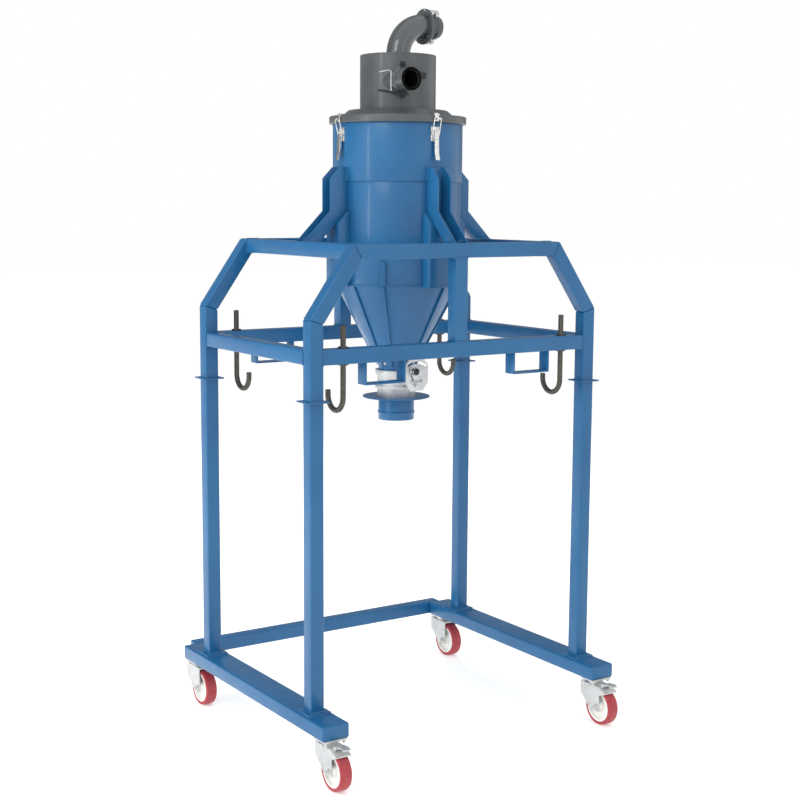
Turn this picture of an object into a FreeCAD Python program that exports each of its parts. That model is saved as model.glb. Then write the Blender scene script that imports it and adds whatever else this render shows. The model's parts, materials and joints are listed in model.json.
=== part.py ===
"""Cyclone separator with a bag-filling outlet, carried in a welded, wheeled steel frame.

Millimetres, +Z up, floor at Z = 0. +X runs along the open front, which faces -Y.
The cyclone's axis is vertical, midway between the four posts.
"""
import FreeCAD, Part
import math
import os
from FreeCAD import Vector

# ---- frame: driving dimensions ----
tube = 60.0                # side of the square tube
beam_width = 120.0         # base beams, across
beam_height = 60.0
beam_length = 1240.0
post_span_x = 1350.0       # post centres, left to right
post_span_y = 900.0        # post centres, front to rear
frame_top = 2094.0         # top of the upper ring of beams
bend_height = 1810.0       # where the outer faces of the posts turn inwards
bend_inset = 200.0         # how far the upper ring lies inside the posts' outer faces
mid_ring_height = 1635.0   # underside of the ring that carries the bag hooks
foot_plate = 100.0
foot_plate_thick = 8.0
guide_plate = 96.0
guide_plate_thick = 6.0
guide_plate_height = 1492.0
pocket_spacing = 727.0     # fork pockets, centre to centre
pocket_width = 187.0
pocket_drop = 88.0
pocket_strap = 6.0
hook_inset = 133.0         # bag hook to the post's centre
hook_rod = 22.0
hook_bend = 57.5           # centre line radius of the J
hook_top = 1783.0
hook_bottom = 1435.0
hook_tip_rise = 18.0       # straight tip above the bend's centre
hook_collar = 42.0
hook_collar_thick = 6.0

# ---- castors ----
castor_inset = 40.0        # swivel axis to the base beam's end
castor_trail = 42.0
wheel_radius = 80.0
tread_width = 50.0
hub_width = 56.0
wheel_web = 16.0
wheel_rim = 16.0           # tread and rim together
hub_radius = 21.0
axle_radius = 6.0
castor_plate_x = 105.0
castor_plate_y = 80.0
castor_plate_thick = 8.0
race_radius = 32.0
race_height = 18.7
crown_thick = 7.0
fork_sheet = 4.0
fork_front = 16.0          # fork's front edge beyond the axle
fork_back = 62.0           # fork's rear edge behind the swivel axis
fork_knee = 42.0           # above the axle, where the rear edge slopes in towards it
fork_toe = 40.0            # foot of that slope behind the axle
apron_reach = 40.0         # braked fork's sloping apron beyond the front edge
apron_drop = 16.0
crown_gap = 6.0            # crown to tread
leg_gap = 2.0              # fork leg to hub
pin_radius = 8.0
pedal_length = 55.0
pedal_width = 34.0
pedal_sheet = 4.0
pedal_pin = 4.0

# ---- cyclone: driving dimensions ----
drum_radius = 275.0        # upper drum, outside
drum_step = 5.0            # the lower drum is this much smaller in radius
drum_wall = 5.0
upper_drum_height = 239.0
lower_drum_height = 427.0
drum_drop = 182.0          # the drum's bottom edge below the frame's top
drum_lap = 15.0            # lower drum inside the upper one
cone_height = 362.0
cone_step = 5.0
cone_neck_radius = 77.0
cone_neck_height = 12.0
cone_wall = 3.0
cone_rim = 4.0
cone_rib_width = 8.0
cone_rib_proud = 8.0
cone_rib_end = 6.0         # rib's ends to the cone's
cone_rib_offset = 15.0     # degrees from a bracket to the rib beside it
drum_rib_width = 22.0
drum_rib_proud = 10.0
drum_rib_height = 96.0
pad_width = 100.0          # stiffening pads on the drum under the brackets
pad_proud = 52.0
pad_overhang = 7.0         # pad's lower end below the drum's
bracket_width = 66.0
bracket_sheet = 5.0
bracket_top = 303.0        # bracket's top above the frame
bracket_depth = 77.0       # radial depth beside the drum
bracket_chamfer = 47.0
bracket_knee = 123.0       # outer knee above the frame
bracket_foot = 80.0        # radial length of the foot
lid_overhang = 15.0        # lid beyond the drum
lid_rim_height = 32.0
lid_rise = 26.0
lid_slope_width = 74.0     # from the rim to the flat top
lid_wall = 4.0
hood_radius = 160.0
hood_height = 228.0
hood_wall = 4.0
outlet_radius = 50.0
outlet_wall = 3.0
outlet_bend = 125.0        # centre line radius of the elbow
outlet_stub = 4.0
outlet_flange_radius = 74.5
outlet_flange_thick = 10.0
coupling_radius = 44.0
coupling_bore = 38.0
coupling_length = 68.0
inlet_offset = 95.0        # inlet pipe, left of the axis
inlet_radius = 38.0
inlet_wall = 3.0
inlet_rise = 114.0         # inlet's centre above the hood's foot
inlet_stand = 12.0         # pipe's outer end beyond the hood's front
inlet_depth = 60.0         # pipe's inner end from the cyclone's axis
inlet_flange_radius = 54.0
inlet_flange_thick = 8.0
inlet_stub_radius = 46.0
inlet_stub_bore = 36.0
inlet_stub_length = 73.0

# ---- toggle latches ----
latch_pivot_out = 13.0     # lever pivot, out from the drum
latch_pivot_drop = 38.0    # lever pivot below the lid
latch_arm_in = 4.0         # bail pivot, in from the lever pivot
latch_arm_down = 14.0
bail_out = 9.3             # bail's top bar, out from the lid's rim
bail_rise = 15.8           # bail's top bar above the lid's foot
bail_rod = 5.0
bail_spacing = 28.0
lever_length = 115.0
lever_half_width = 10.0
lever_sheet = 6.0
ear_half_gap = 7.0
ear_sheet = 3.0
latch_pin = 3.0

# ---- discharge valve and bag spout ----
neck_step = 1.0            # valve's bore inside the cone's neck
valve_flange_step = 8.0    # flange beyond the waist
valve_flange_height = 22.0
valve_wall = 7.0           # bore to waist
valve_height = 115.0
valve_ring_step = 9.0      # ring beyond the waist
valve_ring_height = 12.0
valve_ring_rise = 36.0
shaft_radius = 9.0
shaft_rise = 71.0          # shaft above the valve's bottom face
shaft_clearance = 0.1
disc_clearance = 5.5
disc_thick = 6.0
neck_radius = 24.0
quadrant_stand = 59.0      # quadrant plate's inner face from the flange
quadrant_thick = 8.0
quadrant_half_width = 58.0
quadrant_above = 102.0     # top of the quadrant above the shaft
quadrant_below = 34.0
slot_radius = 86.0
slot_width = 10.0
slot_from = -32.0          # degrees from upright, to the right is positive
slot_to = 40.0
handle_rest = -26.0        # handle's direction at rest
handle_length = 64.0
handle_sheet = 6.0
handle_gap = 5.5
knob_radius = 16.0
knob_length = 24.0
spout_step = 1.5           # spout beyond the valve's bore
spout_wall = 2.5
spout_length = 101.0
spout_bead = 3.0
spout_bead_height = 10.0
spout_bead_drop = 71.0
bag_plate_width = 68.5     # spout to the plate's edge
bag_plate_thick = 5.0

running_gap = 0.3          # faces that turn past each other

# ---- derived places ----
castor_height = (2 * wheel_radius + crown_gap + crown_thick + running_gap + race_height
                 + castor_plate_thick)
half_x = post_span_x / 2
half_y = post_span_y / 2
beam_top = castor_height + beam_height
outer_x = half_x + tube / 2
top_outer_x = outer_x - bend_inset
top_under = frame_top - tube
mid_ring_top = mid_ring_height + tube
hook_spacing = post_span_x - 2 * hook_inset
castor_y = beam_length / 2 - castor_inset
wheel_z = wheel_radius
crown_low = 2 * wheel_radius + crown_gap
crown_high = crown_low + crown_thick
race_low = crown_high + running_gap
race_high = castor_height - castor_plate_thick
leg_in = hub_width / 2 + leg_gap
leg_out = leg_in + fork_sheet

lower_radius = drum_radius - drum_step
drum_low = frame_top - drum_drop
drum_mid = drum_low + lower_drum_height
drum_high = drum_mid + upper_drum_height
cone_low = drum_low - cone_height
cone_high = drum_low - cone_rim
cone_top_radius = lower_radius - cone_step
neck_low = cone_low - cone_neck_height
lid_radius = drum_radius + lid_overhang
lid_flat_radius = lid_radius - lid_slope_width
lid_shoulder = drum_high + lid_rim_height
lid_high = lid_shoulder + lid_rise
hood_high = lid_high + hood_height
outlet_z = hood_high + outlet_stub + outlet_bend
inlet_z = lid_high + inlet_rise
inlet_reach = hood_radius + inlet_stand
valve_bore = cone_neck_radius - neck_step
valve_waist_radius = valve_bore + valve_wall
valve_flange_radius = valve_waist_radius + valve_flange_step
valve_ring_radius = valve_waist_radius + valve_ring_step
quadrant_out = valve_flange_radius + quadrant_stand
spout_radius = valve_bore + spout_step
bag_plate_radius = spout_radius + bag_plate_width
valve_high = neck_low
valve_low = valve_high - valve_height
shaft_z = valve_low + shaft_rise
spout_low = valve_low - spout_length
disc_radius = valve_bore - disc_clearance

# the footprint's middle lies at Y = 0: front reach is the trailing wheel, rear the cross beam
front_reach = castor_y + castor_trail + wheel_radius
rear_reach = beam_length / 2 + tube
shift = Vector(0, (front_reach - rear_reach) / 2, 0)

SIDES = {"left": -1, "right": 1}
ENDS = {"front": -1, "rear": 1}
STATIONS = {"right": 0, "rear": 90, "left": 180, "front": 270}
Z_AXIS = Vector(0, 0, 1)


# ---- small helpers ----
def block(x0, x1, y0, y1, z0, z1):
    return Part.makeBox(x1 - x0, y1 - y0, z1 - z0, Vector(x0, y0, z0))


def rod(radius, start, end):
    way = end - start
    return Part.makeCylinder(radius, way.Length, start, way)


def ring(outer, inner, start, end):
    return rod(outer, start, end).cut(rod(inner, start, end))


def upright(radius, low, high):
    return rod(radius, Vector(0, 0, low), Vector(0, 0, high))


def upright_ring(outer, inner, low, high):
    return ring(outer, inner, Vector(0, 0, low), Vector(0, 0, high))


def plate_xz(points, y0, y1):
    """A plate whose outline lies in X and Z."""
    wire = Part.makePolygon([Vector(x, y0, z) for x, z in points + points[:1]])
    return Part.Face(wire).extrude(Vector(0, y1 - y0, 0))


def plate_yz(points, x0, x1):
    """A plate whose outline lies in Y and Z."""
    wire = Part.makePolygon([Vector(x0, y, z) for y, z in points + points[:1]])
    return Part.Face(wire).extrude(Vector(x1 - x0, 0, 0))


def turned(points):
    """A ring whose section is given as radius and height."""
    wire = Part.makePolygon([Vector(r, 0, z) for r, z in points + points[:1]])
    return Part.Face(wire).revolve(Vector(0, 0, 0), Z_AXIS, 360)


def moved(shape, x=0.0, y=0.0, z=0.0):
    copy = shape.copy()
    copy.translate(Vector(x, y, z))
    return copy


def about_axis(shape, degrees):
    """A copy turned about the cyclone's axis."""
    copy = shape.copy()
    copy.rotate(Vector(0, 0, 0), Z_AXIS, degrees)
    return copy


def mirrored_x(shape):
    return shape.mirror(Vector(0, 0, 0), Vector(1, 0, 0))


def mirrored_y(shape):
    return shape.mirror(Vector(0, 0, 0), Vector(0, 1, 0))


def four_corners(shape):
    """The shape at +X +Y and its mirror images at the other corners."""
    right = [shape, mirrored_y(shape)]
    return right + [mirrored_x(one) for one in right]


# ---- frame ----
def base_beams():
    beam = block(half_x - beam_width / 2, half_x + beam_width / 2,
                 -beam_length / 2, beam_length / 2, castor_height, beam_top)
    return [beam, mirrored_x(beam)]


def cross_beam():
    return block(-half_x, half_x, beam_length / 2, beam_length / 2 + tube, castor_height, beam_top)


def slant_section():
    """Outline in X and Z of the right-hand slanting member, mitred at both ends."""
    rise = frame_top - bend_height
    length = math.hypot(bend_inset, rise)
    inner_x = outer_x - tube
    # the inner line is the outer one moved square to itself by the tube's side
    start = (outer_x - tube * rise / length, bend_height - tube * bend_inset / length)
    low_z = start[1] + (start[0] - inner_x) * rise / bend_inset
    high_x = start[0] - (top_under - start[1]) * bend_inset / rise
    return [(outer_x, bend_height), (top_outer_x, frame_top), (high_x, top_under), (inner_x, low_z)]


def posts():
    outline = slant_section()
    section = [(outer_x - tube, beam_top), (outer_x, beam_top), outline[0], outline[3]]
    return four_corners(plate_xz(section, half_y - tube / 2, half_y + tube / 2))


def portal_slants():
    return four_corners(plate_xz(slant_section(), half_y - tube / 2, half_y + tube / 2))


def top_beams_cross():
    outline = slant_section()
    right = [outline[1], outline[2]]
    left = [(-x, z) for x, z in reversed(right)]
    beam = plate_xz(right + left, half_y - tube / 2, half_y + tube / 2)
    return [beam, mirrored_y(beam)]


def top_beams_side():
    beam = block(top_outer_x - tube, top_outer_x, -half_y + tube / 2, half_y - tube / 2,
                 top_under, frame_top)
    return [beam, mirrored_x(beam)]


def mid_beams_cross():
    beam = block(-half_x + tube / 2, half_x - tube / 2, half_y - tube / 2, half_y + tube / 2,
                 mid_ring_height, mid_ring_top)
    for side in SIDES.values():
        x = side * hook_spacing / 2
        beam = beam.cut(rod(hook_rod / 2, Vector(x, half_y, mid_ring_height),
                            Vector(x, half_y, mid_ring_top)))
    return [beam, mirrored_y(beam)]


def mid_beams_side():
    beam = block(half_x - tube / 2, half_x + tube / 2, -half_y + tube / 2, half_y - tube / 2,
                 mid_ring_height, mid_ring_top)
    return [beam, mirrored_x(beam)]


def centre_posts():
    post = block(-tube / 2, tube / 2, half_y - tube / 2, half_y + tube / 2, mid_ring_top, top_under)
    return [post, mirrored_y(post)]


def post_collars(side, thick, low):
    """Square plates with a hole, one round each post."""
    plate = block(half_x - side / 2, half_x + side / 2, half_y - side / 2, half_y + side / 2,
                  low, low + thick)
    hole = block(half_x - tube / 2, half_x + tube / 2, half_y - tube / 2, half_y + tube / 2,
                 low, low + thick)
    return four_corners(plate.cut(hole))


def fork_pockets():
    centre = pocket_spacing / 2
    low = mid_ring_height - pocket_drop
    near, far = half_y - tube / 2, half_y + tube / 2
    outer = block(centre - pocket_width / 2, centre + pocket_width / 2, near, far,
                  low, mid_ring_height)
    inner = block(centre - pocket_width / 2 + pocket_strap, centre + pocket_width / 2 - pocket_strap,
                  near, far, low + pocket_strap, mid_ring_height)
    return four_corners(outer.cut(inner))


def bag_hooks():
    """J hooks through the mid beams, tips turned towards the cyclone's axis."""
    x, y = hook_spacing / 2, half_y
    bend_z = hook_bottom + hook_rod / 2 + hook_bend
    start = Part.Circle(Vector(x, y, bend_z), Z_AXIS, hook_rod / 2)
    disc = Part.Face(Part.Wire(start.toShape()))
    bend = disc.revolve(Vector(x, y - hook_bend, bend_z), Vector(1, 0, 0), -180)
    tip_y = y - 2 * hook_bend
    hook = rod(hook_rod / 2, Vector(x, y, bend_z), Vector(x, y, hook_top)).fuse(bend)
    hook = hook.fuse(rod(hook_rod / 2, Vector(x, tip_y, bend_z),
                         Vector(x, tip_y, bend_z + hook_tip_rise)))
    for low in (mid_ring_height - hook_collar_thick, mid_ring_top):
        hook = hook.fuse(rod(hook_collar / 2, Vector(x, y, low),
                             Vector(x, y, low + hook_collar_thick)))
    return four_corners(hook.removeSplitter())


# ---- castors, each modelled about its own swivel axis at X = Y = 0 ----
def castor_mount():
    plate = block(-castor_plate_x / 2, castor_plate_x / 2, -castor_plate_y / 2, castor_plate_y / 2,
                  race_high, castor_height)
    race = upright(race_radius, race_low, race_high)
    pin = upright(pin_radius, crown_low - running_gap, race_low)
    head = upright(pin_radius + 5, crown_low - running_gap - 5, crown_low - running_gap)
    return plate.fuse(race).fuse(pin).fuse(head).removeSplitter()


def castor_fork(braked):
    front, back = -(castor_trail + fork_front), fork_back
    apron = [(front, crown_low + fork_sheet), (front - apron_reach, crown_low - apron_drop + fork_sheet),
             (front - apron_reach, crown_low - apron_drop), (front, crown_low)]
    crown = block(-leg_out, leg_out, front, back, crown_low, crown_high)
    if braked:
        crown = crown.fuse(plate_yz(apron, -leg_out, leg_out))
    fork = crown.cut(upright(pin_radius + 0.1, crown_low, crown_high))
    axle_y = -castor_trail
    boss = hub_radius - 3
    for side in SIDES.values():
        near, far = sorted((side * leg_in, side * leg_out))
        outline = [(front, crown_high), (back, crown_high), (back, wheel_z + fork_knee),
                   (axle_y + fork_toe, wheel_z - boss), (axle_y - boss, wheel_z - boss)]
        if braked:
            outline += [(front, crown_low - 2 * apron_drop)] + apron[2:0:-1] + apron[:1]
        leg = plate_yz(outline, near, far)
        leg = leg.fuse(rod(boss, Vector(near, axle_y, wheel_z), Vector(far, axle_y, wheel_z)))
        fork = fork.fuse(leg)
    reach = leg_out + 6
    fork = fork.fuse(rod(axle_radius, Vector(-reach, axle_y, wheel_z), Vector(reach, axle_y, wheel_z)))
    for side in SIDES.values():
        near, far = sorted((side * leg_out, side * reach))
        fork = fork.fuse(rod(axle_radius + 5, Vector(near, axle_y, wheel_z), Vector(far, axle_y, wheel_z)))
    if braked:
        fork = fork.fuse(pedal_ears(front))
    return fork.removeSplitter()


def pedal_place():
    """Y and Z of the brake pedal's pin."""
    return -(castor_trail + fork_front) - 8, crown_high + 6


def pedal_ears(front):
    """Two ears on the crown's front edge and the pin between them."""
    y, z = pedal_place()
    inner = pedal_width / 2 + 1
    outer = inner + fork_sheet
    ears = rod(pedal_pin, Vector(-outer, y, z), Vector(outer, y, z))
    for side in SIDES.values():
        near, far = sorted((side * inner, side * outer))
        ears = ears.fuse(block(near, far, y, front + 10, crown_low, z))
        ears = ears.fuse(rod(8, Vector(near, y, z), Vector(far, y, z)))
    return ears


def brake_pedal():
    y, z = pedal_place()
    half = pedal_width / 2
    barrel = rod(pedal_pin + 3, Vector(-half, y, z), Vector(half, y, z))
    outline = [(y, z), (y, z + pedal_pin + 3), (y - pedal_length * 0.7, z + pedal_pin + 9),
               (y - pedal_length, z + pedal_pin + 3), (y - pedal_length, z + pedal_pin - 1),
               (y - pedal_length * 0.7, z + pedal_pin + 9 - pedal_sheet), (y - 8, z)]
    pedal = barrel.fuse(plate_yz(outline, -half, half))
    pedal = pedal.cut(rod(pedal_pin + 0.1, Vector(-half, y, z), Vector(half, y, z)))
    return pedal.removeSplitter()


def castor_wheel():
    y, z = -castor_trail, wheel_z
    half, hub = tread_width / 2, hub_width / 2
    round_off = 6.0
    rim = wheel_radius - wheel_rim
    wheel = rod(wheel_radius, Vector(-half, y, z), Vector(half, y, z))
    edges = [edge for edge in wheel.Edges if edge.BoundBox.XLength < 1e-3]
    wheel = wheel.makeFillet(round_off, edges)
    for side in SIDES.values():
        inner, outer = sorted((side * wheel_web / 2, side * half))
        wheel = wheel.cut(rod(rim, Vector(inner, y, z), Vector(outer, y, z)))
    wheel = wheel.fuse(rod(hub_radius, Vector(-hub, y, z), Vector(hub, y, z)))
    return wheel.cut(rod(axle_radius + 0.1, Vector(-hub, y, z), Vector(hub, y, z))).removeSplitter()


def castor_places():
    return {end + "_" + side: (side_sign * half_x, end_sign * castor_y)
            for end, end_sign in ENDS.items() for side, side_sign in SIDES.items()}


# ---- cyclone body ----
def upper_drum():
    return upright_ring(drum_radius, drum_radius - drum_wall, drum_mid, drum_high)


def lower_drum():
    return upright_ring(lower_radius, lower_radius - drum_wall, drum_low, drum_mid + drum_lap)


def cone_radius(z):
    share = (z - cone_low) / (cone_high - cone_low)
    return cone_neck_radius + share * (cone_top_radius - cone_neck_radius)


def cone():
    """Conical shell with a flat rim under the drum and a short neck on the valve."""
    neck_bore = cone_neck_radius - cone_wall
    return turned([(cone_neck_radius, neck_low), (cone_neck_radius, cone_low),
                   (cone_top_radius, cone_high), (lower_radius, cone_high),
                   (lower_radius, drum_low), (cone_top_radius - cone_wall, drum_low),
                   (neck_bore, cone_low), (neck_bore, neck_low)])


def cone_ribs():
    """Thin ribs down the cone: one beside each bracket's line and one midway between brackets."""
    high, low = cone_high - cone_rib_end, cone_low + cone_rib_end
    inner = 0.8
    outline = [(cone_radius(high) * inner, high), (cone_radius(high) + cone_rib_proud, high),
               (cone_radius(low) + cone_rib_proud, low), (cone_radius(low) * inner, low)]
    body = turned([(0, cone_low), (cone_neck_radius, cone_low), (cone_top_radius, cone_high),
                   (0, cone_high)])
    rib = plate_xz(outline, -cone_rib_width / 2, cone_rib_width / 2).cut(body)
    angles = [station + turn for station in STATIONS.values() for turn in (cone_rib_offset, 45)]
    return [about_axis(rib, angle) for angle in angles]


def drum_ribs():
    """Short upright ribs on the drum's foot, midway between the brackets."""
    inner = lower_radius - drum_wall
    rib = block(inner, lower_radius + drum_rib_proud, -drum_rib_width / 2, drum_rib_width / 2,
                drum_low, drum_low + drum_rib_height)
    rib = rib.cut(upright(lower_radius, drum_low, drum_mid))
    return [about_axis(rib, station + 45) for station in STATIONS.values()]


def bracket_knee_height():
    """Where the inner line of the bracket's slanting leg leaves the drum."""
    foot = drum_radius + bracket_depth + bracket_knee
    return frame_top + foot - bracket_foot - drum_radius


def drum_pads():
    """Stiffening pads from the brackets' knees down to the drum's foot."""
    inner, outer = lower_radius - 15, lower_radius + pad_proud
    low, knee = drum_low - pad_overhang, bracket_knee_height()
    outline = [(inner, low), (outer, low), (outer, knee - (outer - drum_radius)),
               (drum_radius, knee), (inner, knee)]
    pad = plate_xz(outline, -pad_width / 2, pad_width / 2)
    pad = pad.cut(upright(lower_radius, low, knee))
    return [about_axis(pad, angle) for angle in STATIONS.values()]


def brackets():
    """Channels, open outwards, from the drum down and out to the upper ring of beams."""
    top = frame_top + bracket_top
    knee = frame_top + bracket_knee
    outer = drum_radius + bracket_depth
    foot = outer + bracket_knee
    inner = drum_radius - 15
    inner_knee = bracket_knee_height()
    side = [(inner, top), (outer - bracket_chamfer, top), (outer, top - bracket_chamfer),
            (outer, knee), (foot, frame_top), (foot - bracket_foot, frame_top),
            (drum_radius, inner_knee), (inner, inner_knee)]
    channel = plate_xz(side, -bracket_width / 2, bracket_width / 2)
    web = drum_radius + bracket_sheet
    slope = bracket_sheet * math.sqrt(2)
    hollow = [(web, top + 1), (outer + 1, top + 1), (outer + 1, knee), (foot + 1, knee),
              (foot + 1, frame_top - 1), (foot - bracket_foot + slope + 1, frame_top - 1),
              (web, inner_knee + slope - bracket_sheet)]
    channel = channel.cut(plate_xz(hollow, -bracket_width / 2 + bracket_sheet,
                                   bracket_width / 2 - bracket_sheet))
    drum = upright(drum_radius, drum_mid, top).fuse(upright(lower_radius, frame_top, drum_mid))
    channel = channel.cut(drum)
    return [about_axis(channel, angle) for angle in STATIONS.values()]


def lid():
    inside = lid_radius - lid_wall
    seat = lower_radius
    return turned([(seat, drum_high), (lid_radius, drum_high), (lid_radius, lid_shoulder),
                   (lid_flat_radius, lid_high), (hood_radius - 20, lid_high),
                   (hood_radius - 20, lid_high - lid_wall), (lid_flat_radius, lid_high - lid_wall),
                   (inside, lid_shoulder - lid_wall), (inside, drum_high + lid_wall),
                   (seat, drum_high + lid_wall)])


def inlet_rod(radius, near, far):
    return rod(radius, Vector(-inlet_offset, -near, inlet_z), Vector(-inlet_offset, -far, inlet_z))


def hood_shell():
    shell = upright_ring(hood_radius, hood_radius - hood_wall, lid_high, hood_high - hood_wall)
    return shell.cut(inlet_rod(inlet_radius, 0, inlet_reach))


def hood_top():
    return upright_ring(hood_radius, outlet_radius, hood_high - hood_wall, hood_high)


def bent_rod(radius):
    """The elbow's rod of one radius: up through the hood's top, then a quarter turn to +X."""
    start = hood_high - hood_wall
    bend_z = hood_high + outlet_stub
    circle = Part.Face(Part.Wire(Part.Circle(Vector(0, 0, bend_z), Z_AXIS, radius).toShape()))
    bend = circle.revolve(Vector(outlet_bend, 0, bend_z), Vector(0, 1, 0), 90)
    return upright(radius, start, bend_z).fuse(bend)


def outlet_elbow():
    flange = ring(outlet_flange_radius, outlet_radius - outlet_wall, Vector(outlet_bend, 0, outlet_z),
                  Vector(outlet_bend + outlet_flange_thick, 0, outlet_z))
    pipe = bent_rod(outlet_radius).cut(bent_rod(outlet_radius - outlet_wall))
    return pipe.fuse(flange).removeSplitter()


def outlet_coupling():
    near = outlet_bend + outlet_flange_thick
    far = near + coupling_length
    lip = 8.0
    body = rod(coupling_radius, Vector(near, 0, outlet_z), Vector(far, 0, outlet_z))
    body = body.fuse(rod(coupling_radius + 6, Vector(far - lip - 12, 0, outlet_z),
                         Vector(far - 12, 0, outlet_z)))
    body = body.fuse(rod(coupling_radius + 14, Vector(near, 0, outlet_z),
                         Vector(near + lip, 0, outlet_z)))
    return body.cut(rod(coupling_bore, Vector(near, 0, outlet_z), Vector(far, 0, outlet_z)))


def inlet_pipe():
    pipe = inlet_rod(inlet_radius, inlet_depth, inlet_reach)
    flange = inlet_rod(inlet_flange_radius, inlet_reach - inlet_flange_thick, inlet_reach)
    bore = inlet_rod(inlet_radius - inlet_wall, inlet_depth, inlet_reach)
    return pipe.fuse(flange).cut(bore).removeSplitter()


def inlet_coupling():
    far = inlet_reach + inlet_stub_length
    body = inlet_rod(inlet_stub_radius, inlet_reach, far)
    body = body.fuse(inlet_rod(inlet_stub_radius + 8, inlet_reach, inlet_reach + 12))
    body = body.fuse(inlet_rod(inlet_stub_radius + 4, far - 8, far))
    return body.cut(inlet_rod(inlet_stub_bore, inlet_reach, far))


# ---- toggle latches, each modelled at the +X station ----
def latch_pivot():
    return drum_radius + latch_pivot_out, drum_high - latch_pivot_drop


def bail_pivot():
    x, z = latch_pivot()
    return x - latch_arm_in, z - latch_arm_down


def bail_top():
    return lid_radius + bail_out, drum_high + bail_rise


def latch_catch():
    """Hook plate on the lid's rim, open upwards, that the bail's top bar lies in."""
    x, z = bail_top()
    half = bail_spacing / 2 - bail_rod / 2 - 2.5
    shelf = z - bail_rod / 2 - 1
    lip_in = x + bail_rod / 2 + 3.2
    plate = block(lid_radius - 5, lid_radius + 3, -half, half, shelf - 8, shelf + 15)
    catch = plate.fuse(block(lid_radius, lip_in + 3, -half, half, shelf - 3, shelf))
    catch = catch.fuse(block(lip_in, lip_in + 3, -half, half, shelf - 3, shelf + 5))
    catch = catch.cut(upright(lid_radius, drum_high, lid_shoulder))
    return catch.removeSplitter()


def latch_base():
    """Plate on the drum with two ears and the lever's pin."""
    x, z = latch_pivot()
    plate = block(drum_radius - 3, drum_radius + 3, -20, 20, z - 38, z + 20)
    base = plate.cut(upright(drum_radius, drum_mid, drum_high))
    outer = ear_half_gap + ear_sheet
    for side in SIDES.values():
        near, far = sorted((side * ear_half_gap, side * outer))
        base = base.fuse(block(drum_radius + 2, x + 5, near, far, z - 8, z + 8))
    return base.fuse(rod(latch_pin, Vector(x, -outer, z), Vector(x, outer, z))).removeSplitter()


def latch_lever():
    x, z = latch_pivot()
    bail_x, bail_z = bail_pivot()
    neck = ear_half_gap - 0.5
    lever = rod(latch_pin + 3, Vector(x, -neck, z), Vector(x, neck, z))
    lever = lever.fuse(block(bail_x - 4.5, x + 4, -neck, neck, bail_z - 3, z))
    low = z - lever_length
    grip_z = z - latch_pin - 8
    outline = [(bail_x - 4.5, grip_z), (x + 4, grip_z), (x + 6, low + 30), (x + 14, low),
               (x + 10, low), (bail_x - 4.5 + lever_sheet, low + 28), (bail_x - 4.5, bail_z - 8)]
    lever = lever.fuse(plate_xz(outline, -lever_half_width, lever_half_width))
    lever = lever.cut(rod(latch_pin + 0.1, Vector(x, -neck, z), Vector(x, neck, z)))
    reach = lever_half_width + 1
    lever = lever.cut(rod(bail_rod / 2 + 0.1, Vector(bail_x, -reach, bail_z),
                          Vector(bail_x, reach, bail_z)))
    return lever.removeSplitter()


def latch_bail():
    """Closed wire loop from the lever up to the catch."""
    low_x, low_z = bail_pivot()
    top_x, top_z = bail_top()
    half = bail_spacing / 2
    radius = bail_rod / 2
    corners = [Vector(low_x, -half, low_z), Vector(low_x, half, low_z),
               Vector(top_x, half, top_z), Vector(top_x, -half, top_z)]
    sides = list(zip(corners, corners[1:] + corners[:1]))
    pieces = [rod(radius, first, second) for first, second in sides]
    pieces += [Part.makeSphere(radius, corner) for corner in corners]
    return pieces[0].multiFuse(pieces[1:]).removeSplitter()


# ---- discharge valve and bag spout ----
def valve_body():
    ring_low = valve_low + valve_ring_rise
    body = upright(valve_waist_radius, valve_low, valve_high)
    body = body.fuse(upright(valve_flange_radius, valve_high - valve_flange_height, valve_high))
    body = body.fuse(upright(valve_ring_radius, ring_low, ring_low + valve_ring_height))
    neck = rod(neck_radius, Vector(0, -valve_bore, shaft_z), Vector(0, -quadrant_out, shaft_z))
    boss = rod(neck_radius - 4, Vector(0, valve_bore, shaft_z),
               Vector(0, valve_flange_radius + 14, shaft_z))
    body = body.fuse(neck).fuse(boss).fuse(quadrant())
    body = body.cut(upright(valve_bore, valve_low, valve_high))
    reach = quadrant_out + quadrant_thick
    bore = rod(shaft_radius + shaft_clearance, Vector(0, -reach, shaft_z),
               Vector(0, valve_flange_radius + 4, shaft_z))
    return body.cut(bore).removeSplitter()


def quadrant():
    """Upright plate square to the shaft, with the curved slot of the handle's lock."""
    near, far = -(quadrant_out + quadrant_thick), -quadrant_out
    half = quadrant_half_width
    outline = [(-half * 0.55, shaft_z - quadrant_below), (half * 0.55, shaft_z - quadrant_below),
               (half, shaft_z), (half, shaft_z + quadrant_above * 0.72),
               (half * 0.62, shaft_z + quadrant_above), (-half * 0.62, shaft_z + quadrant_above),
               (-half, shaft_z + quadrant_above * 0.72), (-half, shaft_z)]
    plate = plate_xz(outline, near, far)
    slot = ring(slot_radius + slot_width / 2, slot_radius - slot_width / 2,
                Vector(0, near, shaft_z), Vector(0, far, shaft_z))
    reach = 2 * slot_radius
    edges = [(reach * math.sin(math.radians(a)), shaft_z + reach * math.cos(math.radians(a)))
             for a in (slot_from, (slot_from + slot_to) / 2, slot_to)]
    return plate.cut(slot.common(plate_xz([(0, shaft_z)] + edges, near, far)))


def on_handle(distance, across=0.0):
    """X and Z of a point at a distance from the shaft along the handle."""
    turn = math.radians(handle_rest)
    return (distance * math.sin(turn) + across * math.cos(turn),
            shaft_z + distance * math.cos(turn) - across * math.sin(turn))


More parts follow.
